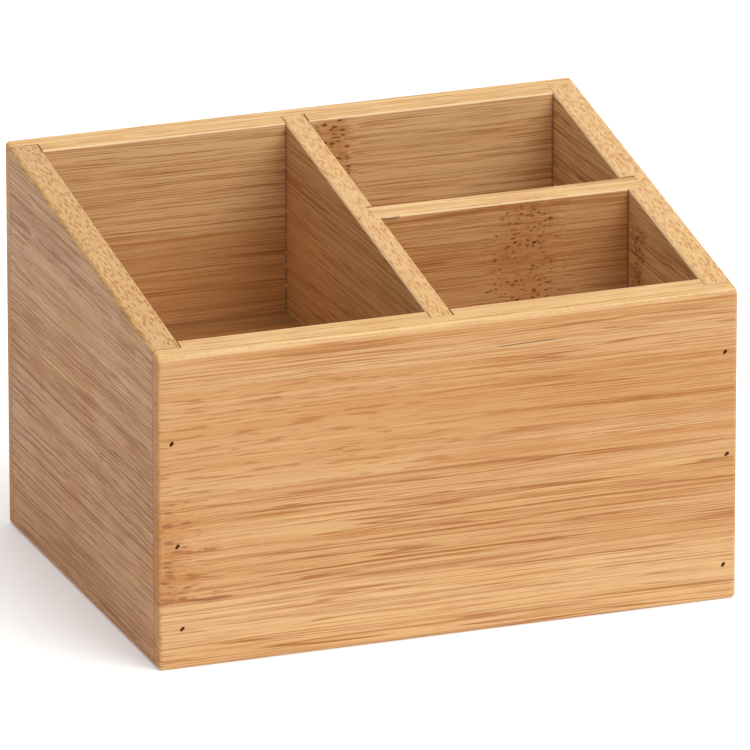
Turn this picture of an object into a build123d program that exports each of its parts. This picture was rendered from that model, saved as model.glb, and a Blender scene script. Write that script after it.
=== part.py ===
from build123d import *
from math import radians, tan
import os

# A desk organizer: an open box of bamboo board whose rim slopes down from the back to the front.
# A centre divider and a cross divider make three compartments, which stand on a raised floor panel.
# Millimetres. The origin is the middle of the underside, +X is right, +Y is the back, +Z is up.

# Overall size
width = 160.0
depth = 122.0
back_height = 107.0
rim_slope = 10.0  # degrees that the rim falls from the back to the front

# Boards
panel_thickness = 8.0  # front and back panels
side_thickness = 8.0
divider_thickness = 6.5
floor_thickness = 5.0
floor_top = 53.0
divider_x = -0.7  # middle of the centre divider
cross_y = 0.6  # middle of the cross divider

# Joints
tongue_depth = 4.0  # rabbets, dadoes and grooves in the four outer boards
cross_tongue_depth = 2.0  # dado for the cross divider in the centre divider
joint_clearance = 0.1  # at each cheek of a dado or groove

# Rounded edges
front_rim_radius = 2.4  # outer top edge of the front panel
back_rim_radius = 0.8  # outer top edge of the back panel
edge_radius = 1.2  # every other outer edge
arris_radius = 0.7  # rim edges inside the compartments

# Headed pins that hold the end panels to the side panels
pin_length = 22.0
pin_radius = 0.35
pin_point = 0.2  # chamfer at the end of the shank
pin_clearance = 0.05
head_length = 1.4
head_width = 0.8
head_thickness = 0.6
head_sink = 0.9  # from the face of the board to the top of the head

# Three pins in each corner, driven by hand: one between the floor panel and the rim, and two below
# the floor panel. For each corner: how far up between floor panel and rim the top pin is, how far
# up between underside and floor panel the middle one is, both as a share, the height of the bottom
# one, and then, from the top pin to the bottom one, how far each is inward of the side panel's
# middle, and the tilt of its head in degrees.
pin_corners = {
    "front_left": (0.27, 0.70, 10.9, (-0.3, 1.1, 2.3), (55.0, 50.0, 45.0)),
    "front_right": (0.48, 0.84, 9.7, (-0.4, -1.1, -0.3), (50.0, 40.0, 60.0)),
    "back_left": (0.66, 0.80, 11.6, (0.2, 0.6, -0.1), (50.0, 55.0, 45.0)),
    "back_right": (0.63, 0.75, 10.4, (-0.2, 0.4, 0.9), (45.0, 60.0, 50.0)),
}

# Places that follow from the sizes above
half_width = width / 2
half_depth = depth / 2
inner_x = half_width - side_thickness  # inner faces of the side panels
inner_y = half_depth - panel_thickness  # inner faces of the front and back panels
seat_x = inner_x + tongue_depth  # where tongues seat in the side panels
seat_y = inner_y + tongue_depth  # where tongues seat in the front and back panels
cross_seat_x = divider_x + divider_thickness / 2 - cross_tongue_depth
groove_z = (floor_top - floor_thickness - joint_clearance, floor_top + joint_clearance)
dado_z = (floor_top, back_height)
divider_dado_x = (
    divider_x - divider_thickness / 2 - joint_clearance,
    divider_x + divider_thickness / 2 + joint_clearance,
)
cross_dado_y = (
    cross_y - divider_thickness / 2 - joint_clearance,
    cross_y + divider_thickness / 2 + joint_clearance,
)


def rim_height(y):
    """Height of the sloping rim at a distance y from the middle."""
    return back_height - (half_depth - y) * tan(radians(rim_slope))


def on_rim(edge):
    """Whether the middle of an edge lies in the plane of the rim."""
    middle = edge @ 0.5
    return abs(middle.Z - rim_height(middle.Y)) < 0.001


def under_rim(x, front_y, back_y, bottom_z):
    """Outline across the box at x, between two y positions, from bottom_z up to the rim."""
    with BuildSketch(Plane.YZ.offset(x)) as outline:
        with BuildLine():
            Polyline(
                (front_y, bottom_z),
                (back_y, bottom_z),
                (back_y, rim_height(back_y)),
                (front_y, rim_height(front_y)),
                close=True,
            )
        make_face()
    return outline.sketch


def cut_block(x_range, y_range, z_range):
    """Cut a block from the board in hand, between two limits along each axis."""
    limits = (x_range, y_range, z_range)
    with Locations(tuple(sum(pair) / 2 for pair in limits)):
        Box(*[abs(pair[1] - pair[0]) for pair in limits], mode=Mode.SUBTRACT)


def pin_places(corner):
    """Position across and up the board, and tilt of the head, of each pin of a corner."""
    end, side = corner.split("_")
    top_share, middle_share, bottom, insets, tilts = pin_corners[corner]
    rim = rim_height(-half_depth if end == "front" else half_depth)
    top = floor_top + top_share * (rim - floor_top)
    middle = middle_share * (floor_top - floor_thickness)
    outward = -1 if side == "left" else 1
    return [
        (outward * (half_width - side_thickness / 2 - inset), height, tilt)
        for inset, height, tilt in zip(insets, (top, middle, bottom), tilts)
    ]


def cut_pin_holes(corner):
    """Cut the slots that the sunk heads leave, and the holes of the shanks, of a corner's pins."""
    inward = -1 if corner.startswith("front") else 1
    face = Plane.XZ.offset(-inward * half_depth)
    for x, height, tilt in pin_places(corner):
        with BuildSketch(face) as slot:
            with Locations((x, height)):
                SlotOverall(head_length + 2 * pin_clearance, head_width + 2 * pin_clearance, tilt)
        extrude(slot.sketch, amount=inward * (head_sink + head_thickness), mode=Mode.SUBTRACT)
        with BuildSketch(face) as hole:
            with Locations((x, height)):
                Circle(pin_radius + pin_clearance)
        extrude(hole.sketch, amount=inward * (head_sink + pin_length), mode=Mode.SUBTRACT)


def make_end_panel(end):
    """Front or back panel: it runs the full width, and the tongues of the other boards seat in it."""
    facing = -1 if end == "front" else 1
    outermost, innermost = (0, -1) if end == "front" else (-1, 0)
    rim_radius = front_rim_radius if end == "front" else back_rim_radius
    outer, inner, seat = facing * half_depth, facing * inner_y, facing * seat_y
    with BuildPart() as panel:
        extrude(under_rim(0, outer, inner, 0), amount=half_width, both=True)
        outer_edges = panel.edges().filter_by(Axis.X).group_by(Axis.Y)[outermost]
        fillet(outer_edges.sort_by(Axis.Z)[-1], rim_radius)
        outer_bottom = panel.edges().filter_by(Axis.X).group_by(Axis.Z)[0].sort_by(Axis.Y)[outermost]
        inner_corners = panel.edges().filter_by(Axis.Z).group_by(Axis.Y)[innermost]
        end_edges = panel.faces().filter_by(Axis.X).edges() - inner_corners
        fillet(end_edges + [outer_bottom], edge_radius)
        for x_range in ((-half_width, -inner_x), (inner_x, half_width)):
            cut_block(x_range, (seat, inner), (0, back_height))
        cut_block((-inner_x, inner_x), (seat, inner), groove_z)
        cut_block(divider_dado_x, (seat, inner), dado_z)
        rim_edges = panel.edges().filter_by(Axis.X).filter_by(on_rim)
        fillet(rim_edges.group_by(Axis.Y)[innermost], arris_radius)
        cut_pin_holes(f"{end}_left")
        cut_pin_holes(f"{end}_right")
    return panel.part


def make_side_panel(side):
    """Left or right panel: its ends seat in the rabbets of the front and back panels."""
    facing = -1 if side == "left" else 1
    outermost, innermost = (0, -1) if side == "left" else (-1, 0)
    inner, seat = facing * inner_x, facing * seat_x
    with BuildPart() as panel:
        extrude(under_rim(inner, -seat_y, seat_y, 0), amount=facing * side_thickness)
        outer_edges = panel.edges().group_by(Axis.X)[outermost]
        fillet(outer_edges - outer_edges.filter_by(Axis.Z), edge_radius)
        cut_block((inner, seat), (-seat_y, seat_y), groove_z)
        if side == "right":
            cut_block((inner, seat), cross_dado_y, dado_z)
        rim_edges = panel.edges().filter_by(on_rim).filter_by(Axis.X, reverse=True)
        fillet(rim_edges.group_by(Axis.X)[innermost], arris_radius)
        cut_pin_holes(f"front_{side}")
        cut_pin_holes(f"back_{side}")
    return panel.part


os.makedirs("parts", exist_ok=True)

for end in ("front", "back"):
    end_panel = make_end_panel(end)
    end_panel.label = f"{end}_panel"
    export_step(end_panel, f"parts/{end}_panel.step")

for side in ("left", "right"):
    side_panel = make_side_panel(side)
    side_panel.label = f"{side}_side"
    export_step(side_panel, f"parts/{side}_side.step")

# Floor panel: its four edges are tongues in the outer boards
with BuildPart() as floor_panel:
    with BuildSketch(Plane.XY.offset(floor_top - floor_thickness)):
        Rectangle(2 * seat_x, 2 * seat_y)
    extrude(amount=floor_thickness)
floor_panel.part.label = "floor_panel"
export_step(floor_panel.part, "parts/floor_panel.step")

# Centre divider: it runs from front to back, with a shallow dado on the right for the cross divider
with BuildPart() as centre_divider:
    outline = under_rim(divider_x, -seat_y, seat_y, floor_top)
    extrude(outline, amount=divider_thickness / 2, both=True)
    cut_block((cross_seat_x, divider_dado_x[1]), cross_dado_y, dado_z)
    rim_edges = centre_divider.edges().filter_by(on_rim).filter_by(Axis.X, reverse=True)
    outer_groups = rim_edges.group_by(Axis.X)
    fillet(outer_groups[0] + outer_groups[-1], arris_radius)
centre_divider.part.label = "centre_divider"
export_step(centre_divider.part, "parts/centre_divider.step")

# Cross divider: it runs from the centre divider to the right side panel
with BuildPart() as cross_divider:
    cross_front, cross_back = cross_y - divider_thickness / 2, cross_y + divider_thickness / 2
    extrude(under_rim(cross_seat_x, cross_front, cross_back, floor_top), amount=seat_x - cross_seat_x)
    fillet(cross_divider.edges().filter_by(on_rim).filter_by(Axis.X), arris_radius)
cross_divider.part.label = "cross_divider"
export_step(cross_divider.part, "parts/cross_divider.step")

# Pins: a slot-shaped head on a round shank with a blunt point
for corner in pin_corners:
    inward = -1 if corner.startswith("front") else 1
    head_plane = Plane.XZ.offset(-inward * (half_depth - head_sink))
    with BuildPart() as corner_pins:
        for x, height, tilt in pin_places(corner):
            with BuildSketch(head_plane):
                with Locations((x, height)):
                    SlotOverall(head_length, head_width, tilt)
            extrude(amount=inward * head_thickness)
            with BuildSketch(head_plane):
                with Locations((x, height)):
                    Circle(pin_radius)
            extrude(amount=inward * pin_length)
        innermost = -1 if corner.startswith("front") else 0
        chamfer(corner_pins.edges().filter_by(GeomType.CIRCLE).group_by(Axis.Y)[innermost], pin_point)
    corner_pins.part.label = f"{corner}_pins"
    export_step(corner_pins.part, f"parts/{corner}_pins.step")
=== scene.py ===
"""Looks of a bamboo desk organizer: solid bamboo boards, wire pins, glue, and a soft studio."""

import math
import random
from collections import namedtuple

import bmesh
import bpy
from bpy.props import FloatProperty, FloatVectorProperty, PointerProperty
from mathutils import Matrix, Vector, noise


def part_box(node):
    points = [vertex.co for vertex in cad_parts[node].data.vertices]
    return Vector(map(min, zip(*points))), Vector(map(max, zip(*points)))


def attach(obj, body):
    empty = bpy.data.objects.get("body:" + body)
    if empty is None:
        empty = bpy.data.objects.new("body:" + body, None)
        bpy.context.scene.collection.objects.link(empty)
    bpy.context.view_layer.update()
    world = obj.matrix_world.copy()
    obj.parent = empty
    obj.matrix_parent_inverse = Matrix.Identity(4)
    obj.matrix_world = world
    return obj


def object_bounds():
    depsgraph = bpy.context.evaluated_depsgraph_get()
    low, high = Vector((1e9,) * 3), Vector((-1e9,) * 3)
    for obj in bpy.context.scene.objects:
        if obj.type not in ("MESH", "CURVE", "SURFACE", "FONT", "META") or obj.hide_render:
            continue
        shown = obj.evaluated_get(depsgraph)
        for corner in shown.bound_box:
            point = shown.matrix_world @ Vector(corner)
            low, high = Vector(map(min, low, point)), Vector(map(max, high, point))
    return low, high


bl_info = {
    "name": "Bamboo desk organizer",
    "version": (1, 0, 0),
    "blender": (4, 5, 0),
    "location": "3D View > Sidebar > Organizer",
    "description": "Finishes the boards, pins and glue of a bamboo desk organizer and sets up its studio",
    "category": "Object",
}

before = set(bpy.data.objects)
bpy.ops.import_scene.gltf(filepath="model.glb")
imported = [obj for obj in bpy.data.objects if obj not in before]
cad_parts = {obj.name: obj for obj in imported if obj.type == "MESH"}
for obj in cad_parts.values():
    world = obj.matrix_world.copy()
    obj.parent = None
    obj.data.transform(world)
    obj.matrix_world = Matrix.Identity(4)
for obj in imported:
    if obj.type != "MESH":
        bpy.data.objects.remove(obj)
cad_low, cad_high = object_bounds()

MM = 0.001  # metres in a millimetre

# Which axis of the frame runs along the grain, across the board's face, and through its thickness
ALONG_WIDTH = (0, 2, 1)
ALONG_DEPTH = (1, 2, 0)
FLOOR_AXES = (0, 1, 2)

FAR = 1000.0  # millimetres, beyond any board

# Upward parts of a normal between which an effect of the faces that look up comes in
FACES_UP = (0.3, 0.8)
SPOTS_UP = (0.3, 0.7)
RIM_UP = (0.55, 0.95)
ARRIS_UP = (0.12, 0.4)
ARRIS_FLAT = (0.7, 0.93)

# Strengths of the layers of colour, the same on every board
PALE_FIBRES = 0.45
DARK_ON_TOP = 0.85
SHEATHS_ON_TOP = 0.95
LINES_ON_TOP = 0.15
DASHES_ON_TOP = 0.1
END_GRAIN_DEPTH = 0.45
PATCH_STAIN = 0.42
GLUE_LINE_DARK = 0.25
EDGE_PALE = 0.12
# Strength of the painted highlight along the inner top edges
ARRIS_HIGHLIGHT = 0.6
JOINT_DARK = 0.4
# Strength of the painted shade up the inner corners
CORNER_SHADE = 0.5
DUST_PALE = 0.04

# Linear colours that are not settings
PIT_COLOUR = (0.06, 0.02, 0.006)
# Colour of the painted highlight along the inner top edges
ARRIS_HIGHLIGHT_COLOUR = (0.93, 0.72, 0.43)
DUST_COLOUR = (0.8, 0.74, 0.66)
WIRE_COLOUR = (0.10, 0.065, 0.045)
TARNISH_COLOUR = (0.035, 0.02, 0.012)
DRAWN_COLOUR = (0.16, 0.11, 0.08)
GLUE_PALE = (0.68, 0.50, 0.30)
GLUE_DEEP = (0.55, 0.35, 0.17)
MOTTLE_COLOUR = (0.86, 0.86, 0.87)
WORLD_COLOUR = (0.96, 0.98, 1.0, 1.0)

EDGE_REACH = 1.4  # millimetres that the sanding of an edge reaches
INNER_FACE = -5.0  # a face looks inwards when its outward part, in millimetres, is less than this
DIVIDER_REACH = 20.0  # millimetres from the middle that only a divider's faces lie within
STROKES_END = (-25.0, 35.0)  # millimetres along the front where short strokes give way to long lines
FLOOR_GLOW = 0.16

# Beads of glue: height up the corner and half length, in millimetres
BEADS = ((81.0, 0.5), (74.0, 0.6), (69.2, 0.4), (66.0, 0.7), (60.0, 0.5))
BEAD_THICK = 0.32
SMEAR_OFF = 2.4
SMEAR_RADII = (2.6, 0.4, 0.35)

LIGHT_DISTANCE = 3.6
CAMERA_TARGET = (1.706, 0.0, 51.408)  # millimetres


# ---------------------------------------------------------------------------
# Settings
# ---------------------------------------------------------------------------


def colour_property(name, description, default):
    """A linear colour that a user can pick."""
    return FloatVectorProperty(
        name=name, description=description, subtype="COLOR", size=3, min=0.0, max=1.0, default=default
    )


def angle_property(name, description, default):
    """An angle, given in degrees."""
    return FloatProperty(name=name, description=description, subtype="ANGLE", default=math.radians(default))


def length_property(name, description, default):
    """A length in metres."""
    return FloatProperty(
        name=name, description=description, unit="LENGTH", min=0.0, precision=5, default=default
    )


class OrganizerBamboo(bpy.types.PropertyGroup):
    """Sizes and colours of the bamboo."""

    pale: colour_property("Pale bamboo", "Ground tissue between the fibre bundles", (0.72, 0.425, 0.187))
    warm: colour_property("Warm bamboo", "Deeper tone that runs through it in bands", (0.62, 0.295, 0.098))
    stain: colour_property("Stained streaks", "Orange brown of the widest streaks", (0.50, 0.19, 0.04))
    fibre: colour_property("Fibre bundles", "Dark sheath round each bundle", (0.37, 0.128, 0.018))
    knuckle: colour_property("Knuckles", "Stained wood where the culm had a joint", (0.23, 0.07, 0.015))
    sanded: colour_property("Sanded rim", "Paler wood of the sanded rim and edges", (0.78, 0.51, 0.20))
    # Also painted light on the boards whose strips are paled all over
    bleached: colour_property("Bleached strips", "Light tone of the palest strips", (0.86, 0.54, 0.25))
    upward: colour_property("Upward faces", "Golden tone of the faces that look up", (0.62, 0.37, 0.118))
    # Also the colour of the painted shade up the inner corners, and of the deepening that is partly painted
    # shade on the floor panel and left side
    crevice_and_shade: colour_property("Joint line", "Glue and dirt in the joints", (0.10, 0.045, 0.018))
    strip_width: length_property("Strip width", "Width of the strips that a board is glued from", 0.029)
    bundle_spacing: length_property("Bundle spacing", "Distance between fibre bundles", 0.00078)
    bundle_wander: length_property("Bundle wander", "How far the bundles stray along the board", 0.0007)
    relief: length_property("Relief", "Height of the raised grain", 0.00005)


class OrganizerStudio(bpy.types.PropertyGroup):
    """Camera and floor."""

    azimuth: angle_property("Azimuth", "Camera angle round the box", -20.18)
    elevation: angle_property("Elevation", "Camera angle above the desk", 19.104)
    roll: angle_property("Roll", "Camera tilt", -0.056)
    distance: length_property("Camera distance", "From the camera to the point it looks at", 3.2754)
    lens: FloatProperty(name="Lens", description="Focal length in millimetres", min=1.0, default=597.5)
    floor_colour: colour_property("Floor", "Plain pale floor", (0.96, 0.96, 0.96))


# ---------------------------------------------------------------------------
# Node building
# ---------------------------------------------------------------------------


class Tree:
    """A node tree with short calls: each one adds a node and gives its output."""

    def __init__(self, tree):
        self.tree = tree
        self.column = 0

    def add(self, kind, **settings):
        node = self.tree.nodes.new(kind)
        node.location = (self.column * 40, -(self.column % 9) * 120)
        self.column += 1
        for name, value in settings.items():
            setattr(node, name, value)
        return node

    def put(self, socket, value):
        """Feeds a socket from an output, or sets its value."""
        if isinstance(value, bpy.types.NodeSocket):
            self.tree.links.new(value, socket)
        elif value is not None:
            socket.default_value = value

    def maths(self, operation, a, b=None, c=None):
        node = self.add("ShaderNodeMath", operation=operation)
        for socket, value in zip(node.inputs, (a, b, c)):
            self.put(socket, value)
        return node.outputs[0]

    def vector(self, operation, a, b=None):
        node = self.add("ShaderNodeVectorMath", operation=operation)
        self.put(node.inputs[0], a)
        self.put(node.inputs["Scale"] if operation == "SCALE" else node.inputs[1], b)
        return node.outputs[0]

    def split(self, vector):
        node = self.add("ShaderNodeSeparateXYZ")
        self.put(node.inputs[0], vector)
        return node.outputs

    def join(self, x, y, z=0.0):
        node = self.add("ShaderNodeCombineXYZ")
        for socket, value in zip(node.inputs, (x, y, z)):
            self.put(socket, value)
        return node.outputs[0]

    def range(self, value, low, high, to_low=0.0, to_high=1.0):
        """A smooth step from to_low at low to to_high at high."""
        node = self.add("ShaderNodeMapRange", interpolation_type="SMOOTHSTEP")
        for socket, item in zip(node.inputs, (value, low, high, to_low, to_high)):
            self.put(socket, item)
        return node.outputs[0]

    def noise(self, vector, scale, detail=2.0, roughness=0.5, distortion=0.0):
        """Noise centred on nought, as (value, colour)."""
        node = self.add("ShaderNodeTexNoise")
        self.put(node.inputs["Vector"], vector)
        self.put(node.inputs["Scale"], scale)
        self.put(node.inputs["Detail"], detail)
        self.put(node.inputs["Roughness"], roughness)
        self.put(node.inputs["Distortion"], distortion)
        value = self.maths("SUBTRACT", node.outputs["Fac"], 0.5)
        return value, node.outputs["Color"]

    def cells(self, vector, scale, dimensions="2D", randomness=0.9):
        """Voronoi cells, as (distance to the middle, random colour)."""
        node = self.add("ShaderNodeTexVoronoi", voronoi_dimensions=dimensions)
        self.put(node.inputs["Vector"], vector)
        self.put(node.inputs["Scale"], scale)
        self.put(node.inputs["Randomness"], randomness)
        return node.outputs["Distance"], node.outputs["Color"]

    def mix(self, factor, a, b):
        node = self.add("ShaderNodeMix", data_type="RGBA")
        self.put(node.inputs[0], factor)
        for socket, value in ((node.inputs[6], a), (node.inputs[7], b)):
            self.put(socket, (*value, 1.0) if isinstance(value, tuple) else value)
        return node.outputs[2]

    def group(self, tree, **values):
        """A group node, with its inputs set by name; underscores stand for spaces."""
        node = self.add("ShaderNodeGroup", node_tree=tree)
        for name, value in values.items():
            self.put(node.inputs[name.replace("_", " ").capitalize()], value)
        return node.outputs


def new_group(name, inputs, outputs):
    """An empty shader node group: inputs and outputs map names to FLOAT or VECTOR."""
    group = bpy.data.node_groups.new(name, "ShaderNodeTree")
    kinds = {"FLOAT": "NodeSocketFloat", "VECTOR": "NodeSocketVector"}
    for in_out, sockets in (("INPUT", inputs), ("OUTPUT", outputs)):
        for socket_name, kind in sockets.items():
            group.interface.new_socket(name=socket_name, in_out=in_out, socket_type=kinds[kind])
    tree = Tree(group)
    inside = tree.add("NodeGroupInput").outputs
    outside = tree.add("NodeGroupOutput").inputs
    return group, tree, inside, outside


# ---------------------------------------------------------------------------
# Shared effects. Board position is in millimetres: along the grain, across, through the thickness.
# ---------------------------------------------------------------------------


def strips_group():
    """Splits a board into the strips it is glued from."""
    group, t, inside, outside = new_group(
        "Bamboo strips",
        {"Position": "VECTOR", "Width": "FLOAT", "First joint": "FLOAT", "Seed": "FLOAT"},
        {"Position": "VECTOR", "Tone": "FLOAT", "Glue line": "FLOAT"},
    )
    along, across, through = t.split(inside["Position"])
    sway, _ = t.noise(t.join(t.maths("MULTIPLY", along, 0.006), inside["Seed"]), 1.0, 1.0)
    straight = t.maths("SUBTRACT", t.maths("MULTIPLY_ADD", sway, 0.7, across), inside["First joint"])
    count = t.maths("DIVIDE", straight, inside["Width"])
    index = t.maths("ADD", t.maths("FLOOR", count), inside["Seed"])
    dice = t.add("ShaderNodeTexWhiteNoise", noise_dimensions="1D")
    t.put(dice.inputs["W"], index)
    red, green, blue = t.split(dice.outputs["Color"])
    t.put(
        outside["Position"],
        t.join(
            t.maths("MULTIPLY_ADD", red, 400.0, along),
            t.maths("MULTIPLY_ADD", green, 300.0, across),
            t.maths("MULTIPLY_ADD", blue, 90.0, through),
        ),
    )
    t.put(outside["Tone"], blue)
    edge = t.maths("ABSOLUTE", t.maths("SUBTRACT", t.maths("FRACT", t.maths("ADD", count, 0.5)), 0.5))
    reach = t.maths("MULTIPLY", edge, inside["Width"])
    t.put(outside["Glue line"], t.range(reach, 0.0, 0.16, 1.0, 0.0))
    return group


def knuckle_group():
    """A culm joint that crosses one strip: a stained patch of short dashes and a few pits."""
    group, t, inside, outside = new_group(
        "Bamboo knuckle",
        {
            "Position": "VECTOR",
            "Middle": "VECTOR",
            "Length": "FLOAT",
            "Width": "FLOAT",
            "Stretch": "FLOAT",
            "Pitting": "FLOAT",
        },
        {"Patch": "FLOAT", "Dashes": "FLOAT", "Pits": "FLOAT", "Swirl": "VECTOR"},
    )
    near = t.vector("SUBTRACT", inside["Position"], inside["Middle"])
    along, across, _ = t.split(near)
    ragged, _ = t.noise(t.vector("MULTIPLY", inside["Position"], (0.12, 0.9, 0.9)), 1.0, 3.0, 0.6)
    far_along = t.maths("ABSOLUTE", t.maths("DIVIDE", along, inside["Length"]))
    frayed = t.maths("MULTIPLY_ADD", ragged, 1.3, far_along)
    sideways = t.maths("ABSOLUTE", t.maths("DIVIDE", across, inside["Width"]))
    in_strip = t.range(sideways, 0.47, 0.5, 1.0, 0.0)
    patch = t.maths("MULTIPLY", t.range(frayed, 0.12, 0.55, 1.0, 0.0), in_strip)
    t.put(outside["Patch"], patch)
    _, swirl = t.noise(t.vector("MULTIPLY", inside["Position"], (0.16, 0.22, 0.22)), 1.0, 2.0)
    centred = t.vector("SUBTRACT", swirl, (0.5, 0.5, 0.5))
    close = t.maths("MULTIPLY", t.range(far_along, 0.1, 1.0, 1.0, 0.0), in_strip)
    t.put(outside["Swirl"], t.vector("SCALE", centred, t.maths("MULTIPLY", close, 2.4)))
    bent = t.vector("ADD", inside["Position"], t.vector("SCALE", centred, 1.6))
    shape = t.join(t.maths("DIVIDE", 0.4, inside["Stretch"]), 0.95, 0.95)
    distance, dice = t.cells(t.vector("MULTIPLY", bent, shape), 1.0, "3D", 1.0)
    shade = t.split(dice)[0]
    dash = t.maths("MULTIPLY", t.range(distance, 0.2, 0.46, 1.0, 0.0), t.range(shade, 0.05, 0.5))
    t.put(outside["Dashes"], t.maths("MULTIPLY", dash, t.range(patch, 0.1, 0.7)))
    distance, dice = t.cells(t.vector("MULTIPLY", bent, (0.28, 0.45, 0.45)), 1.0, "3D", 1.0)
    chosen = t.range(t.split(dice)[1], 0.45, 0.55)
    pit = t.maths("DIVIDE", distance, inside["Pitting"])
    pit = t.maths("MULTIPLY", t.range(pit, 0.12, 0.26, 1.0, 0.0), chosen)
    t.put(outside["Pits"], t.maths("MULTIPLY", pit, t.range(patch, 0.3, 0.7)))
    return group


def fibres_group():
    """Fibre bundles as long rods through the board, and the fine fibres, streaks and bands between them."""
    group, t, inside, outside = new_group(
        "Bamboo fibres",
        {"Position": "VECTOR", "Spacing": "FLOAT", "Wander": "FLOAT", "Ripple": "FLOAT"},
        {
            "Sheath": "FLOAT",
            "Streak": "FLOAT",
            "Fine": "FLOAT",
            "Band": "FLOAT",
            "Line": "FLOAT",
            "Stroke": "FLOAT",
        },
    )
    _, slow = t.noise(t.vector("MULTIPLY", inside["Position"], (0.010, 0.05, 0.07)), 1.0, 2.0, 0.4)
    centred = t.vector("SUBTRACT", slow, (0.5, 0.5, 0.5))
    strayed = t.vector(
        "ADD", inside["Position"], t.vector("SCALE", centred, t.maths("MULTIPLY", inside["Wander"], 4.0))
    )
    _, short = t.noise(t.vector("MULTIPLY", inside["Position"], (0.085, 0.22, 0.22)), 1.0, 2.0, 0.5)
    ripple = t.vector("SCALE", t.vector("SUBTRACT", short, (0.5, 0.5, 0.5)), inside["Ripple"])
    strayed = t.vector("ADD", strayed, ripple)
    along = t.split(inside["Position"])[0]
    _, across, through = t.split(strayed)
    section = t.join(t.maths("MULTIPLY", across, 1.5), through)
    distance, dice = t.cells(section, t.maths("DIVIDE", 1.0, inside["Spacing"]))
    red, green, _ = t.split(dice)
    fade, _ = t.noise(t.join(t.maths("MULTIPLY", along, 0.06), t.maths("MULTIPLY", red, 50.0)), 1.0, 2.0)
    fading = t.range(fade, -0.2, 0.08, 0.15, 1.0)
    strength = t.maths("MULTIPLY", fading, t.range(green, 0.0, 0.7, 0.3, 1.0))
    rod = t.range(distance, 0.22, 0.42, 1.0, 0.0)
    ring = t.maths("MULTIPLY", rod, t.range(distance, 0.0, 0.2, 0.35, 1.0))
    t.put(outside["Sheath"], t.maths("MULTIPLY", ring, strength))
    wide, _ = t.noise(t.vector("MULTIPLY", strayed, (0.012, 0.62, 0.6)), 1.0, 2.0, 0.55)
    t.put(outside["Streak"], t.range(wide, 0.06, 0.26))
    fine, _ = t.noise(t.vector("MULTIPLY", strayed, (0.022, 1.5, 1.5)), 1.0, 1.0, 0.5)
    t.put(outside["Fine"], fine)
    band, _ = t.noise(t.vector("MULTIPLY", strayed, (0.006, 0.13, 0.13)), 1.0, 2.0, 0.5)
    t.put(outside["Band"], band)
    thin, _ = t.noise(t.vector("MULTIPLY", strayed, (0.007, 0.6, 0.5)), 1.0, 1.0, 0.5)
    line = t.range(t.maths("ABSOLUTE", thin), 0.006, 0.034, 1.0, 0.0)
    t.put(outside["Line"], t.maths("MULTIPLY", line, t.range(band, -0.2, 0.1, 0.45, 1.0)))
    stroke, _ = t.noise(t.vector("MULTIPLY", strayed, (0.10, 1.3, 1.0)), 1.0, 1.0, 0.5)
    t.put(outside["Stroke"], t.range(stroke, 0.07, 0.17))
    return group


def mark_group():
    """One long mark along the grain, such as a stained band or a fine crack, with frayed ends."""
    group, t, inside, outside = new_group(
        "Mark along the grain",
        {"Position": "VECTOR", "Start": "FLOAT", "End": "FLOAT", "Height": "FLOAT", "Reach": "FLOAT"},
        {"Mask": "FLOAT"},
    )
    along, across, _ = t.split(inside["Position"])
    sway, _ = t.noise(t.join(t.maths("MULTIPLY", along, 0.07), inside["Height"]), 1.0, 3.0, 0.6)
    comb, _ = t.noise(t.join(t.maths("MULTIPLY", along, 0.03), t.maths("MULTIPLY", across, 1.6)), 1.0, 2.0)
    rise = t.maths("SUBTRACT", across, inside["Height"])
    gap = t.maths("ABSOLUTE", t.maths("MULTIPLY_ADD", sway, 1.2, rise))
    gap = t.maths("DIVIDE", gap, inside["Reach"])
    middle = t.range(t.maths("MULTIPLY_ADD", comb, 0.9, gap), 0.35, 1.05, 1.0, 0.0)
    frayed = t.maths("MULTIPLY_ADD", comb, 9.0, along)
    begun = t.range(t.maths("SUBTRACT", frayed, inside["Start"]), -1.5, 1.5)
    ended = t.range(t.maths("SUBTRACT", frayed, inside["End"]), -1.5, 1.5, 1.0, 0.0)
    t.put(outside["Mask"], t.maths("MULTIPLY", middle, t.maths("MULTIPLY", begun, ended)))
    return group


def joints_group():
    """The dark line round a board's tongue, and painted shade in a thin line up the inner corners of the
    compartments.
    """
    group, t, inside, outside = new_group(
        "Joint lines",
        {"Position": "VECTOR", "Ends": "VECTOR", "Faces": "VECTOR", "Shoulder": "FLOAT", "Corner": "FLOAT"},
        {"Line": "FLOAT", "Corner": "FLOAT"},
    )
    along, _, through = t.split(inside["Position"])
    ends, faces = t.split(inside["Ends"]), t.split(inside["Faces"])
    waver, _ = t.noise(inside["Position"], 0.7, 3.0, 0.6)

    def near(value, places):
        gaps = [t.maths("ABSOLUTE", t.maths("SUBTRACT", value, place)) for place in places]
        return t.maths("MULTIPLY_ADD", waver, 0.22, t.maths("MINIMUM", *gaps))

    end_line = t.range(near(along, ends[:2]), 0.12, 0.34, 1.0, 0.0)
    face_line = t.range(near(through, faces[:2]), 0.1, 0.3, 1.0, 0.0)
    in_tongue = t.maths("GREATER_THAN", t.maths("ABSOLUTE", along), inside["Shoulder"])
    t.put(outside["Line"], t.maths("MAXIMUM", end_line, t.maths("MULTIPLY", face_line, in_tongue)))
    # Corner: painted shade in a thin line up the inner corners
    gap = t.maths("ABSOLUTE", t.maths("SUBTRACT", t.maths("ABSOLUTE", along), inside["Corner"]))
    t.put(outside["Corner"], t.range(t.maths("MULTIPLY_ADD", waver, 0.3, gap), 0.12, 0.55, 1.0, 0.0))
    return group


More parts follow.
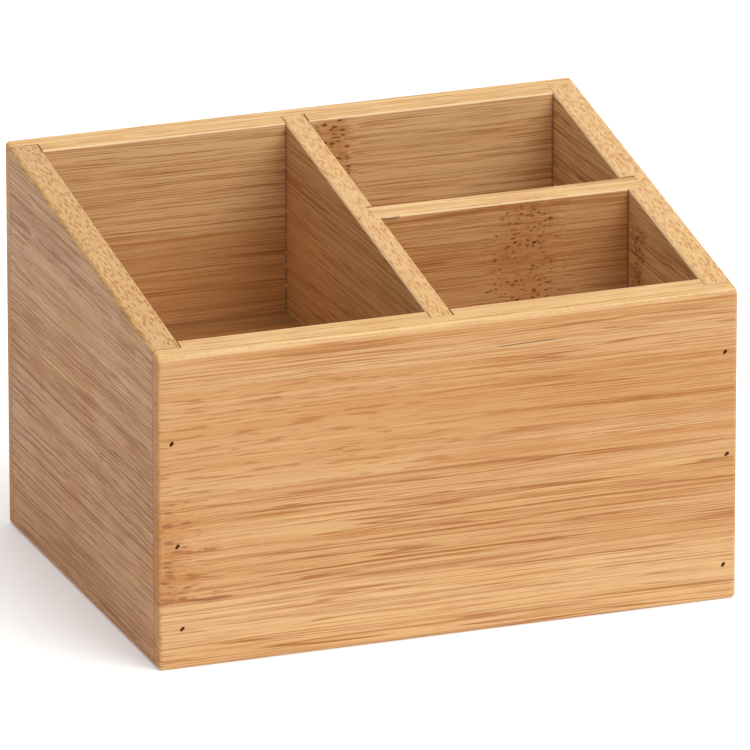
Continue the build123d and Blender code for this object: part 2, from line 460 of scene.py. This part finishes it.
def edges_group():
    """How near a point is to an outer edge of the box, where sanding has rounded and paled it."""
    group, t, inside, outside = new_group(
        "Sanded edges",
        {"Position": "VECTOR", "Low": "VECTOR", "High": "VECTOR", "Slope": "FLOAT", "Reach": "FLOAT"},
        {"Edge": "FLOAT", "Rim": "FLOAT", "Nick": "FLOAT"},
    )
    x, y, z = t.split(inside["Position"])
    low, high = t.split(inside["Low"]), t.split(inside["High"])
    forward = t.maths("SUBTRACT", high[1], y)
    rim = t.maths("MULTIPLY_ADD", forward, t.maths("MULTIPLY", inside["Slope"], -1.0), high[2])
    gaps = [
        t.maths("MINIMUM", t.maths("SUBTRACT", x, low[0]), t.maths("SUBTRACT", high[0], x)),
        t.maths("MINIMUM", t.maths("SUBTRACT", y, low[1]), t.maths("SUBTRACT", high[1], y)),
        t.maths("MINIMUM", t.maths("SUBTRACT", z, low[2]), t.maths("SUBTRACT", rim, z)),
    ]
    pairs = [t.maths("MAXIMUM", gaps[a], gaps[b]) for a, b in ((0, 1), (1, 2), (0, 2))]
    nearest = t.maths("MINIMUM", t.maths("MINIMUM", pairs[0], pairs[1]), pairs[2])
    frayed, _ = t.noise(inside["Position"], 0.9, 3.0, 0.6)
    soft = t.maths("MULTIPLY_ADD", frayed, inside["Reach"], nearest)
    t.put(outside["Edge"], t.range(t.maths("DIVIDE", soft, inside["Reach"]), 0.1, 1.1, 1.0, 0.0))
    chips, _ = t.noise(inside["Position"], 1.15, 3.0, 0.7)
    chip = t.range(chips, 0.02, 0.14)
    t.put(outside["Nick"], t.maths("MULTIPLY", chip, t.range(nearest, 0.5, 1.2, 1.0, 0.0)))
    below = t.maths("MULTIPLY_ADD", frayed, 0.5, t.maths("SUBTRACT", rim, z))
    t.put(outside["Rim"], t.range(below, 0.15, 1.3, 1.0, 0.0))
    return group


def handling_group():
    """Faint smudges and dust that vary the sheen."""
    group, t, inside, outside = new_group(
        "Handling", {"Position": "VECTOR"}, {"Smudge": "FLOAT", "Dust": "FLOAT"}
    )
    smudge, _ = t.noise(inside["Position"], 0.045, 4.0, 0.55, 0.4)
    t.put(outside["Smudge"], t.range(smudge, -0.12, 0.18))
    dust, _ = t.noise(inside["Position"], 2.2, 4.0, 0.7)
    t.put(outside["Dust"], t.range(dust, 0.05, 0.3))
    return group


EFFECTS = {
    "strips": strips_group,
    "knuckle": knuckle_group,
    "fibres": fibres_group,
    "mark": mark_group,
    "joints": joints_group,
    "edges": edges_group,
    "handling": handling_group,
}
made_groups = {}


def effect(name):
    """A shared effect's node group, built the first time it is asked for."""
    if name not in made_groups:
        made_groups[name] = EFFECTS[name]()
    return made_groups[name]


# ---------------------------------------------------------------------------
# Materials
# ---------------------------------------------------------------------------


def new_material(name):
    """A material with an empty tree, its Principled shader and its output."""
    material = bpy.data.materials.new(name)
    material.use_nodes = True
    material.node_tree.nodes.clear()
    tree = Tree(material.node_tree)
    shader = tree.add("ShaderNodeBsdfPrincipled")
    output = tree.add("ShaderNodeOutputMaterial")
    tree.put(output.inputs["Surface"], shader.outputs["BSDF"])
    return material, tree, shader


def rim_slope():
    """Rise of the rim for each metre towards the back."""
    front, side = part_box("front_panel")[1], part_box("left_side")[1]
    return (side.z - front.z) / (side.y - front.y)


def inner_space():
    """Distance from the middle to the inner faces of the outer boards, across and back."""
    return -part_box("left_side")[1].x, -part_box("front_panel")[1].y


# A long mark: where it starts and ends along the grain, its height and its reach, in millimetres
Mark = namedtuple("Mark", ("start", "end", "height", "reach", "strength", "colour"))
WHOLE = (-90.0, 90.0)

BOARD_DEFAULTS = {
    "tone": 0.0,  # how warm the ground is
    "contrast": 1.0,  # strength of streaks and bundles
    "ripple": 0.3,  # how far the bundles ripple, in millimetres
    "open_face": 0,  # the side without a joint line: -1 low, 1 high, 0 neither
    "relief": 0.5,  # share of the bamboo's relief
    "stretch": 1.0,  # length of a knuckle's dashes
    "pitting": 1.0,  # size of a knuckle's pits
    "dashes": 0.9,  # strength of a knuckle's dashes
    "rim_tone": 0.5,  # how much the rim pales
    "nicks": 0.0,  # strength of the chips along the edges
    "tone_step": (0.0, 0.0),  # a strip joint in metres, and the change of tone below it
    "bleach": (0.0, 0.0),  # how far the strips are paled below and above that joint: bleached strips, and partly painted light on the back panel, right side and centre divider
    "streaks": 0.42,  # strength of the wide streaks
    "lines": 0.7,  # strength of the long thin lines
    "fine": 0.75,  # strength of the fine fibres
    "stained": 0.0,  # how much the stain colour covers the whole board; on the floor panel partly painted shade
    "deepened": 0.0,  # how much it is darkened after that; partly painted shade on the floor panel and the left side
    "top_tone": 0.68,  # how golden the faces that look up are
    "strokes": (0.0, 0.0),  # heights in metres between which short strokes stand for long lines
    "marks": (),
}


class Board:
    """What differs from board to board. Lengths are in metres, but in millimetres in its marks."""

    def __init__(self, node, axes, first_joint, seed, knuckles=(), **changes):
        self.node = node
        self.axes = axes
        self.first_joint = first_joint
        self.seed = seed
        self.knuckles = knuckles
        unknown = set(changes) - set(BOARD_DEFAULTS)
        if unknown:
            raise ValueError(f"{node} has no setting {sorted(unknown)}")
        for name, value in {**BOARD_DEFAULTS, **changes}.items():
            setattr(self, name, value)


def bamboo_material(name, board):
    """Glued bamboo board."""
    bamboo = bpy.context.scene.organizer_bamboo
    material, t, shader = new_material(name)
    place = t.add("ShaderNodeTexCoord")
    metric = t.vector("SCALE", place.outputs["Object"], 1.0 / MM)
    xyz = t.split(metric)
    position = t.join(*[xyz[axis] for axis in board.axes])
    width = bamboo.strip_width / MM
    strips = t.group(
        effect("strips"), position=position, width=width, first_joint=board.first_joint / MM, seed=board.seed
    )

    patches, dashes, pits, swirled = 0.0, 0.0, 0.0, strips["Position"]
    for along, across, length in board.knuckles:
        knuckle = t.group(
            effect("knuckle"),
            position=position,
            middle=(along / MM, across / MM, 0.0),
            length=length / MM,
            width=width,
            stretch=board.stretch,
            pitting=board.pitting,
        )
        patches = t.maths("MAXIMUM", knuckle["Patch"], patches)
        dashes = t.maths("MAXIMUM", knuckle["Dashes"], dashes)
        pits = t.maths("MAXIMUM", knuckle["Pits"], pits)
        swirled = t.vector("ADD", swirled, knuckle["Swirl"])
    fibres = t.group(
        effect("fibres"),
        position=swirled,
        spacing=bamboo.bundle_spacing / MM,
        wander=bamboo.bundle_wander / MM,
        ripple=board.ripple,
    )
    edges = t.group(
        effect("edges"),
        position=metric,
        low=tuple(cad_low / MM),
        high=tuple(cad_high / MM),
        slope=rim_slope(),
        reach=EDGE_REACH,
    )
    low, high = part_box(board.node)
    grain, thick = board.axes[0], board.axes[2]
    faces = [low[thick] / MM, high[thick] / MM]
    if board.open_face < 0:
        faces[0] = -FAR
    if board.open_face > 0:
        faces[1] = FAR
    seated = high[grain] < cad_high[grain]
    joints = t.group(
        effect("joints"),
        position=position,
        ends=(low[grain] / MM, high[grain] / MM, 0.0) if seated else (-FAR, FAR, 0.0),
        faces=(*faces, 0.0),
        shoulder=inner_space()[grain] / MM if seated else FAR,
        corner=inner_space()[grain] / MM,
    )
    handling = t.group(effect("handling"), position=metric)

    # Faces cut across the grain are deeper in colour, because they soak up the lacquer.
    normal = t.split(place.outputs["Normal"])
    end_grain = t.range(t.maths("ABSOLUTE", normal[board.axes[0]]), 0.5, 0.95)
    up = normal[2]
    rim = t.maths("MULTIPLY", edges["Rim"], t.range(up, *RIM_UP))
    # A painted highlight along the inner top edges, where the rim rounds down into the inner faces
    arris_highlight = t.maths("MULTIPLY", t.range(up, *ARRIS_UP), t.range(up, *ARRIS_FLAT, 1.0, 0.0))
    arris_highlight = t.maths("MULTIPLY", edges["Rim"], arris_highlight)
    arris_highlight = t.maths("MULTIPLY", arris_highlight, t.maths("SUBTRACT", 1.0, edges["Edge"]))

    # The inner face of an outer board looks back at the middle of the box; a divider has two inner faces.
    along, across, through = t.split(position)
    outward = t.maths("MULTIPLY", normal[thick], through)
    inwards = t.maths("LESS_THAN", outward, INNER_FACE)
    central = t.maths("LESS_THAN", t.maths("ABSOLUTE", through), DIVIDER_REACH)
    inner = t.maths("MAXIMUM", inwards, central)
    inner = t.maths("MULTIPLY", inner, t.maths("LESS_THAN", t.maths("ABSOLUTE", up), 0.5))
    # Painted shade up the inner corners, on the inner faces only
    corner = t.maths("MULTIPLY", joints["Corner"], inner)

    bands = t.maths("MULTIPLY_ADD", strips["Tone"], 0.35, 0.2 + board.tone)
    bands = t.maths("MULTIPLY_ADD", fibres["Band"], 2.0, bands)
    step, change = board.tone_step
    bands = t.maths("ADD", bands, t.range(across, step / MM - 0.3, step / MM + 0.3, change, 0.0))
    low_stroke, high_stroke = board.strokes
    short = t.range(across, low_stroke / MM - 2.0, low_stroke / MM + 2.0)
    above = t.range(across, high_stroke / MM - 3.0, high_stroke / MM + 3.0, 1.0, 0.0)
    short = t.maths("MULTIPLY", short, above)
    short = t.maths("MULTIPLY", short, t.range(along, *STROKES_END, 1.0, 0.0))
    long = t.maths("SUBTRACT", 1.0, short)
    colour = t.mix(bands, tuple(bamboo.pale), tuple(bamboo.warm))
    # Paling, stain and darkening of whole boards: partly painted light and painted shade on some boards
    bleach = t.range(across, step / MM - 0.3, step / MM + 0.3, *board.bleach)
    colour = t.mix(bleach, colour, tuple(bamboo.bleached))
    colour = t.mix(board.stained, colour, tuple(bamboo.stain))
    colour = t.mix(board.deepened, colour, tuple(bamboo.crevice_and_shade))
    colour = t.mix(t.range(up, *FACES_UP, 0.0, board.top_tone), colour, tuple(bamboo.upward))
    colour = t.mix(t.range(fibres["Fine"], -0.32, -0.02, PALE_FIBRES, 0.0), colour, tuple(bamboo.sanded))
    colour = t.mix(t.range(fibres["Fine"], 0.0, 0.28, 0.0, board.fine), colour, tuple(bamboo.stain))
    streak = t.maths("MULTIPLY", fibres["Streak"], board.streaks * board.contrast)
    colour = t.mix(streak, colour, tuple(bamboo.stain))
    colour = t.mix(t.maths("MULTIPLY", rim, board.rim_tone), colour, tuple(bamboo.sanded))
    dark = t.mix(t.range(up, *FACES_UP, 0.0, DARK_ON_TOP), tuple(bamboo.fibre), tuple(bamboo.stain))
    flat_cut = t.maths("MULTIPLY_ADD", long, 0.35, 0.35 * board.contrast)
    cut = t.maths("MAXIMUM", flat_cut, t.range(up, *FACES_UP, 0.0, SHEATHS_ON_TOP))
    sheath = t.maths("MULTIPLY", fibres["Sheath"], cut)
    colour = t.mix(sheath, colour, dark)
    shown = t.maths("MULTIPLY", long, t.range(up, *FACES_UP, board.lines, LINES_ON_TOP))
    line = t.maths("MULTIPLY", fibres["Line"], shown)
    colour = t.mix(line, colour, dark)
    stroke = t.maths("MULTIPLY", fibres["Stroke"], t.maths("MULTIPLY_ADD", short, 0.5, 0.15))
    colour = t.mix(stroke, colour, dark)
    for mark in board.marks:
        mask = t.group(
            effect("mark"),
            position=position,
            start=mark.start,
            end=mark.end,
            height=mark.height,
            reach=mark.reach,
        )["Mask"]
        colour = t.mix(t.maths("MULTIPLY", mask, mark.strength), colour, tuple(getattr(bamboo, mark.colour)))
    colour = t.mix(t.maths("MULTIPLY", end_grain, END_GRAIN_DEPTH), colour, tuple(bamboo.fibre))
    colour = t.mix(t.maths("MULTIPLY", patches, PATCH_STAIN), colour, tuple(bamboo.stain))
    dashes = t.maths("MULTIPLY", dashes, t.range(up, *SPOTS_UP, 1.0, DASHES_ON_TOP))
    colour = t.mix(t.maths("MULTIPLY", dashes, board.dashes), colour, tuple(bamboo.knuckle))
    colour = t.mix(pits, colour, PIT_COLOUR)
    glue_line = t.maths("MULTIPLY", strips["Glue line"], t.range(up, *SPOTS_UP, GLUE_LINE_DARK, 0.0))
    colour = t.mix(glue_line, colour, tuple(bamboo.fibre))
    colour = t.mix(t.maths("MULTIPLY", edges["Edge"], EDGE_PALE), colour, tuple(bamboo.sanded))
    colour = t.mix(t.maths("MULTIPLY", edges["Nick"], board.nicks), colour, tuple(bamboo.fibre))
    # Painted highlight along the inner top edges
    colour = t.mix(t.maths("MULTIPLY", arris_highlight, ARRIS_HIGHLIGHT), colour, ARRIS_HIGHLIGHT_COLOUR)
    colour = t.mix(t.maths("MULTIPLY", joints["Line"], JOINT_DARK), colour, tuple(bamboo.crevice_and_shade))
    # Painted shade up the inner corners
    colour = t.mix(t.maths("MULTIPLY", corner, CORNER_SHADE), colour, tuple(bamboo.crevice_and_shade))
    colour = t.mix(t.maths("MULTIPLY", handling["Dust"], DUST_PALE), colour, DUST_COLOUR)
    t.put(shader.inputs["Base Color"], colour)

    sheen = t.maths("MULTIPLY_ADD", handling["Smudge"], 0.10, 0.42)
    sheen = t.maths("MULTIPLY_ADD", fibres["Sheath"], 0.14, sheen)
    sheen = t.maths("MULTIPLY_ADD", end_grain, 0.2, sheen)
    t.put(shader.inputs["Roughness"], t.maths("MULTIPLY_ADD", edges["Edge"], 0.08, sheen))
    shader.inputs["IOR"].default_value = 1.46

    height = t.maths("MULTIPLY_ADD", fibres["Sheath"], -0.8, t.maths("MULTIPLY", fibres["Fine"], -1.2))
    height = t.maths("MULTIPLY_ADD", strips["Glue line"], -0.6, height)
    height = t.maths("MULTIPLY_ADD", pits, -1.0, height)
    height = t.maths("MULTIPLY_ADD", dashes, -0.6, height)
    height = t.maths("MULTIPLY_ADD", joints["Line"], -3.0, height)
    bump = t.add("ShaderNodeBump")
    bump.inputs["Distance"].default_value = bamboo.relief * board.relief
    t.put(bump.inputs["Height"], height)
    t.put(shader.inputs["Normal"], bump.outputs["Normal"])
    return material


def wire_material():
    """Dull drawn wire, dark where it has tarnished."""
    material, t, shader = new_material("dull pin wire")
    metric = t.vector("SCALE", t.add("ShaderNodeTexCoord").outputs["Object"], 1.0 / MM)
    drawn, _ = t.noise(t.vector("MULTIPLY", metric, (6.0, 0.6, 6.0)), 1.0, 3.0)
    spots, _ = t.noise(metric, 3.0, 4.0, 0.6)
    tarnish = t.range(spots, -0.1, 0.2)
    colour = t.mix(tarnish, WIRE_COLOUR, TARNISH_COLOUR)
    t.put(shader.inputs["Base Color"], t.mix(t.range(drawn, 0.0, 0.3, 0.0, 0.3), colour, DRAWN_COLOUR))
    t.put(shader.inputs["Roughness"], t.maths("MULTIPLY_ADD", tarnish, 0.3, 0.4))
    shader.inputs["Metallic"].default_value = 1.0
    bump = t.add("ShaderNodeBump")
    bump.inputs["Distance"].default_value = 0.02 * MM
    t.put(bump.inputs["Height"], drawn)
    t.put(shader.inputs["Normal"], bump.outputs["Normal"])
    return material


def glue_material():
    """Dried wood glue: tan and cloudy, with a soft gloss."""
    material, t, shader = new_material("dried glue")
    metric = t.vector("SCALE", t.add("ShaderNodeTexCoord").outputs["Object"], 1.0 / MM)
    cloud, _ = t.noise(metric, 1.7, 3.0)
    t.put(shader.inputs["Base Color"], t.mix(t.range(cloud, -0.2, 0.2), GLUE_PALE, GLUE_DEEP))
    t.put(shader.inputs["Roughness"], t.maths("MULTIPLY_ADD", cloud, 0.2, 0.34))
    bump = t.add("ShaderNodeBump")
    bump.inputs["Distance"].default_value = 0.05 * MM
    t.put(bump.inputs["Height"], cloud)
    t.put(shader.inputs["Normal"], bump.outputs["Normal"])
    return material


def floor_material(colour):
    """Matt paper floor with a barely seen mottle, and a faint glow that keeps it pale beside the box."""
    material, t, shader = new_material("studio floor")
    place = t.add("ShaderNodeTexCoord").outputs["Object"]
    mottle, _ = t.noise(place, 9.0, 3.0)
    t.put(shader.inputs["Base Color"], t.mix(t.range(mottle, -0.3, 0.3, 0.0, 0.05), colour, MOTTLE_COLOUR))
    t.put(shader.inputs["Roughness"], t.maths("MULTIPLY_ADD", mottle, 0.05, 0.75))
    shader.inputs["Specular IOR Level"].default_value = 0.2
    shader.inputs["Emission Color"].default_value = (1.0, 1.0, 1.0, 1.0)
    shader.inputs["Emission Strength"].default_value = FLOOR_GLOW
    return material


def finish_node(node, material):
    """Puts a material on every slot of a CAD node."""
    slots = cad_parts[node].material_slots
    if not slots:
        raise RuntimeError(f"{node} has no material slot")
    for item in slots:
        item.material = material


# ---------------------------------------------------------------------------
# Pieces
# ---------------------------------------------------------------------------


def finish_boards(boards):
    """Gives each board its own bamboo."""
    for board in boards:
        finish_node(board.node, bamboo_material(board.node.replace("_", " ") + " bamboo", board))


class ORGANIZER_OT_end_panels(bpy.types.Operator):
    """Finish the front and back panels in bamboo with the grain across the box"""

    bl_idname = "organizer.end_panels"
    bl_label = "Front and back panels"

    def execute(self, context):
        width = context.scene.organizer_bamboo.strip_width
        front, back = 0.0176, 0.0190
        front_panel = Board(
            "front_panel",
            ALONG_WIDTH,
            first_joint=front,
            seed=11.0,
            knuckles=((-0.0795, front + width / 2, 0.022),),
            stretch=1.9,
            pitting=0.35,
            dashes=0.65,
            fine=0.55,
            deepened=0.08,
            tone_step=(front, -0.4),
            bleach=(0.3, 0.0),
            tone=0.2,
            rim_tone=0.4,
            strokes=(front + width, front + 2 * width),
            lines=0.95,
            marks=(
                Mark(*WHOLE, height=61.0, reach=15.0, strength=0.22, colour="stain"),
                Mark(-5.0, WHOLE[1], height=48.4, reach=1.7, strength=0.5, colour="stain"),
                Mark(*WHOLE, height=83.2, reach=1.3, strength=0.3, colour="stain"),
                Mark(WHOLE[0], -62.0, height=18.4, reach=0.7, strength=0.7, colour="knuckle"),
                Mark(13.0, 29.0, height=77.6, reach=0.2, strength=0.8, colour="crevice_and_shade"),
            ),
        )
        back_panel = Board(
            "back_panel",
            ALONG_WIDTH,
            first_joint=back,
            seed=23.0,
            knuckles=((0.0095, back + 2.5 * width, 0.012), (-0.050, back + 0.5 * width, 0.012)),
            # Its pale tone and the bleach above the strip joint pale the upper back wall, and the deeper
            # tone below the joint darkens the lower part: partly the strips' own tones, partly painted light
            # and painted shade.
            tone=-0.35,
            tone_step=(back + 2 * width, 0.9),
            bleach=(0.2, 0.7),
            lines=0.45,
            streaks=0.3,
            rim_tone=0.25,
            top_tone=0.75,
            pitting=0.01,
            dashes=1.0,
        )
        finish_boards((front_panel, back_panel))
        return {"FINISHED"}


class ORGANIZER_OT_side_panels(bpy.types.Operator):
    """Finish the left and right side panels in bamboo with the grain from front to back"""

    bl_idname = "organizer.side_panels"
    bl_label = "Side panels"

    def execute(self, context):
        width = context.scene.organizer_bamboo.strip_width
        left, right = 0.0110, 0.0150
        left_side = Board(
            "left_side",
            ALONG_DEPTH,
            first_joint=left,
            seed=37.0,
            open_face=-1,
            ripple=0.7,
            # Its strong contrast, warm tone and deepening darken the whole board: partly its own colour,
            # partly painted shade for its outer face, which faces away from the key.
            contrast=1.9,
            tone=0.3,
            stained=0.45,
            deepened=0.17,
            fine=0.3,
            relief=3.5,
            rim_tone=0.1,
            top_tone=0.6,
            nicks=0.5,
            streaks=0.1,
            lines=1.0,
        )
        right_side = Board(
            "right_side",
            ALONG_DEPTH,
            first_joint=right,
            seed=41.0,
            knuckles=((-0.010, right + 2.0 * width, 0.010),),
            open_face=1,
            ripple=0.5,
            rim_tone=0.1,
            nicks=0.4,
            # Its pale tone and full bleach pale the whole board: painted light for its inner face, which the
            # key does not reach.
            tone=-0.5,
            bleach=(1.0, 1.0),
        )
        finish_boards((left_side, right_side))
        return {"FINISHED"}


class ORGANIZER_OT_dividers(bpy.types.Operator):
    """Finish the centre divider and the cross divider in bamboo"""

    bl_idname = "organizer.dividers"
    bl_label = "Dividers"

    def execute(self, context):
        width = context.scene.organizer_bamboo.strip_width
        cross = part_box("cross_divider")[1].z - 2 * width
        centre_divider = Board(
            "centre_divider",
            ALONG_DEPTH,
            first_joint=0.0170,
            seed=53.0,
            tone=0.3,
            ripple=0.5,
            rim_tone=0.1,
            # The bleach pales the whole divider: painted light for its left face, which faces away from the
            # key.
            bleach=(0.55, 0.55),
        )
        cross_divider = Board(
            "cross_divider",
            ALONG_WIDTH,
            first_joint=cross,
            seed=67.0,
            knuckles=((0.043, cross + 1.5 * width, 0.021),),
            tone=0.15,
            stretch=0.7,
            pitting=0.9,
            dashes=0.8,
        )
        finish_boards((centre_divider, cross_divider))
        return {"FINISHED"}


class ORGANIZER_OT_floor_panel(bpy.types.Operator):
    """Finish the raised floor panel in bamboo"""

    bl_idname = "organizer.floor_panel"
    bl_label = "Floor panel"

    def execute(self, context):
        floor_panel = Board(
            "floor_panel",
            FLOOR_AXES,
            first_joint=0.0080,
            seed=79.0,
            # Its warm tone, stain and deepening make it dark brown: partly its own colour, partly painted
            # shade deep in the compartment.
            tone=0.6,
            contrast=0.5,
            stained=0.7,
            deepened=0.75,
            top_tone=0.0,
        )
        finish_boards((floor_panel,))
        return {"FINISHED"}


class ORGANIZER_OT_pins(bpy.types.Operator):
    """Finish the headed pins in dull wire"""

    bl_idname = "organizer.pins"
    bl_label = "Pins"

    def execute(self, context):
        wire = wire_material()
        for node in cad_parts:
            if node.endswith("_pins"):
                finish_node(node, wire)
        return {"FINISHED"}


class ORGANIZER_OT_glue(bpy.types.Operator):
    """Add the beads of glue that squeezed out of two joints"""

    bl_idname = "organizer.glue"
    bl_label = "Glue beads"

    def execute(self, context):
        low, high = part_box("centre_divider")
        corner_y = inner_space()[1]
        beads = [
            (Vector((low.x, corner_y, height * MM)), Vector((BEAD_THICK, BEAD_THICK, tall)) * MM)
            for height, tall in BEADS
        ]
        cross_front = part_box("cross_divider")[0].y
        rim = high.z - (high.y - cross_front) * rim_slope()
        beads.append((Vector((high.x + SMEAR_OFF * MM, cross_front, rim)), Vector(SMEAR_RADII) * MM))
        add_beads("glue_beads", beads, glue_material())
        return {"FINISHED"}


def add_beads(name, beads, material):
    """Lumpy beads in one mesh, each given by its middle and its three radii."""
    lumps = random.Random(5)
    shape = bmesh.new()
    for middle, radii in beads:
        made = bmesh.ops.create_icosphere(shape, subdivisions=3, radius=1.0)
        lean = Vector([lumps.uniform(-0.3, 0.3) for _ in range(3)])
        for vertex in made["verts"]:
            swell = 1.0 + 0.3 * noise.noise(vertex.co * 1.7 + lean * 9.0)
            parts = zip(vertex.co, lean, radii)
            vertex.co = middle + Vector([(part * swell + off) * size for part, off, size in parts])
    mesh = bpy.data.meshes.new(name)
    shape.to_mesh(mesh)
    shape.free()
    mesh.shade_smooth()
    mesh.materials.append(material)
    piece = bpy.data.objects.new(name, mesh)
    bpy.context.scene.collection.objects.link(piece)
    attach(piece, "root")


class ORGANIZER_OT_stage(bpy.types.Operator):
    """Set up the floor, the lights and the camera"""

    bl_idname = "organizer.stage"
    bl_label = "Stage"

    def execute(self, context):
        studio = context.scene.organizer_studio
        make_floor(tuple(studio.floor_colour))
        make_lights()
        make_camera(studio)
        return {"FINISHED"}


def make_floor(colour):
    """A wide sheet that the box stands on."""
    half = 4.0
    mesh = bpy.data.meshes.new("studio_floor")
    corners = [(-half, -half, 0.0), (half, -half, 0.0), (half, half, 0.0), (-half, half, 0.0)]
    mesh.from_pydata(corners, [], [(0, 1, 2, 3)])
    mesh.materials.append(floor_material(colour))
    floor = bpy.data.objects.new("studio_floor", mesh)
    bpy.context.scene.collection.objects.link(floor)


def area_light(name, azimuth, elevation, power, size=2.4, colour=(1.0, 1.0, 1.0)):
    """A square softbox that faces the box, at two angles in degrees from the front."""
    around, up = math.radians(azimuth), math.radians(elevation)
    out = Vector((math.sin(around) * math.cos(up), -math.cos(around) * math.cos(up), math.sin(up)))
    target = Vector((0.0, 0.0, cad_high.z / 2))
    lamp = bpy.data.lights.new(name, "AREA")
    lamp.size = size
    lamp.energy = power
    lamp.color = colour
    light = bpy.data.objects.new(name, lamp)
    facing = out.to_track_quat("Z", "Y").to_matrix().to_4x4()
    light.matrix_world = Matrix.Translation(target + out * LIGHT_DISTANCE) @ facing
    bpy.context.scene.collection.objects.link(light)


def make_lights():
    """A key from the front right, light from above, a wall behind, a weak fill and a dim pale room."""
    area_light("key", azimuth=34.0, elevation=40.0, power=67.0, size=2.6, colour=(1.0, 0.995, 0.985))
    area_light("overhead", azimuth=20.0, elevation=80.0, power=64.0)
    area_light("back_wall", azimuth=160.0, elevation=24.0, power=26.0)
    area_light("left_fill", azimuth=-80.0, elevation=30.0, power=3.0, colour=(0.95, 0.97, 1.0))
    world = bpy.data.worlds.new("studio")
    world.use_nodes = True
    backdrop = world.node_tree.nodes["Background"]
    backdrop.inputs["Color"].default_value = WORLD_COLOUR
    backdrop.inputs["Strength"].default_value = 0.4
    bpy.context.scene.world = world
    bpy.context.scene.view_settings.view_transform = "Standard"


def make_camera(studio):
    """A long lens at the front left, a little above the rim."""
    lens = bpy.data.cameras.new("camera")
    lens.lens = studio.lens
    lens.sensor_width = 36.0
    lens.clip_end = 50.0
    camera = bpy.data.objects.new("camera", lens)
    turn = (
        Matrix.Rotation(studio.azimuth, 4, "Z")
        @ Matrix.Rotation(math.pi / 2 - studio.elevation, 4, "X")
        @ Matrix.Rotation(studio.roll, 4, "Z")
    )
    target = Vector([part * MM for part in CAMERA_TARGET])
    stand = target + turn.to_3x3() @ Vector((0.0, 0.0, studio.distance))
    camera.matrix_world = Matrix.Translation(stand) @ turn
    bpy.context.scene.collection.objects.link(camera)
    bpy.context.scene.camera = camera


class ORGANIZER_PT_panel(bpy.types.Panel):
    """The organizer's pieces, settings and studio"""

    bl_label = "Desk organizer"
    bl_idname = "ORGANIZER_PT_panel"
    bl_space_type = "VIEW_3D"
    bl_region_type = "UI"
    bl_category = "Organizer"

    def draw(self, context):
        layout = self.layout
        for operator in OPERATORS:
            layout.operator(operator.bl_idname)
        for settings in (context.scene.organizer_bamboo, context.scene.organizer_studio):
            column = layout.box().column()
            for name in settings.__annotations__:
                column.prop(settings, name)


OPERATORS = (
    ORGANIZER_OT_end_panels,
    ORGANIZER_OT_side_panels,
    ORGANIZER_OT_dividers,
    ORGANIZER_OT_floor_panel,
    ORGANIZER_OT_pins,
    ORGANIZER_OT_glue,
    ORGANIZER_OT_stage,
)
CLASSES = (OrganizerBamboo, OrganizerStudio, *OPERATORS, ORGANIZER_PT_panel)


def register():
    for item in CLASSES:
        bpy.utils.register_class(item)
    bpy.types.Scene.organizer_bamboo = PointerProperty(type=OrganizerBamboo)
    bpy.types.Scene.organizer_studio = PointerProperty(type=OrganizerStudio)


def unregister():
    del bpy.types.Scene.organizer_studio
    del bpy.types.Scene.organizer_bamboo
    for item in reversed(CLASSES):
        bpy.utils.unregister_class(item)


def main():
    """Makes every piece and the stage."""
    register()
    bpy.ops.organizer.end_panels()
    bpy.ops.organizer.side_panels()
    bpy.ops.organizer.dividers()
    bpy.ops.organizer.floor_panel()
    bpy.ops.organizer.pins()
    bpy.ops.organizer.glue()
    bpy.ops.organizer.stage()


if __name__ == "__main__":
    main()
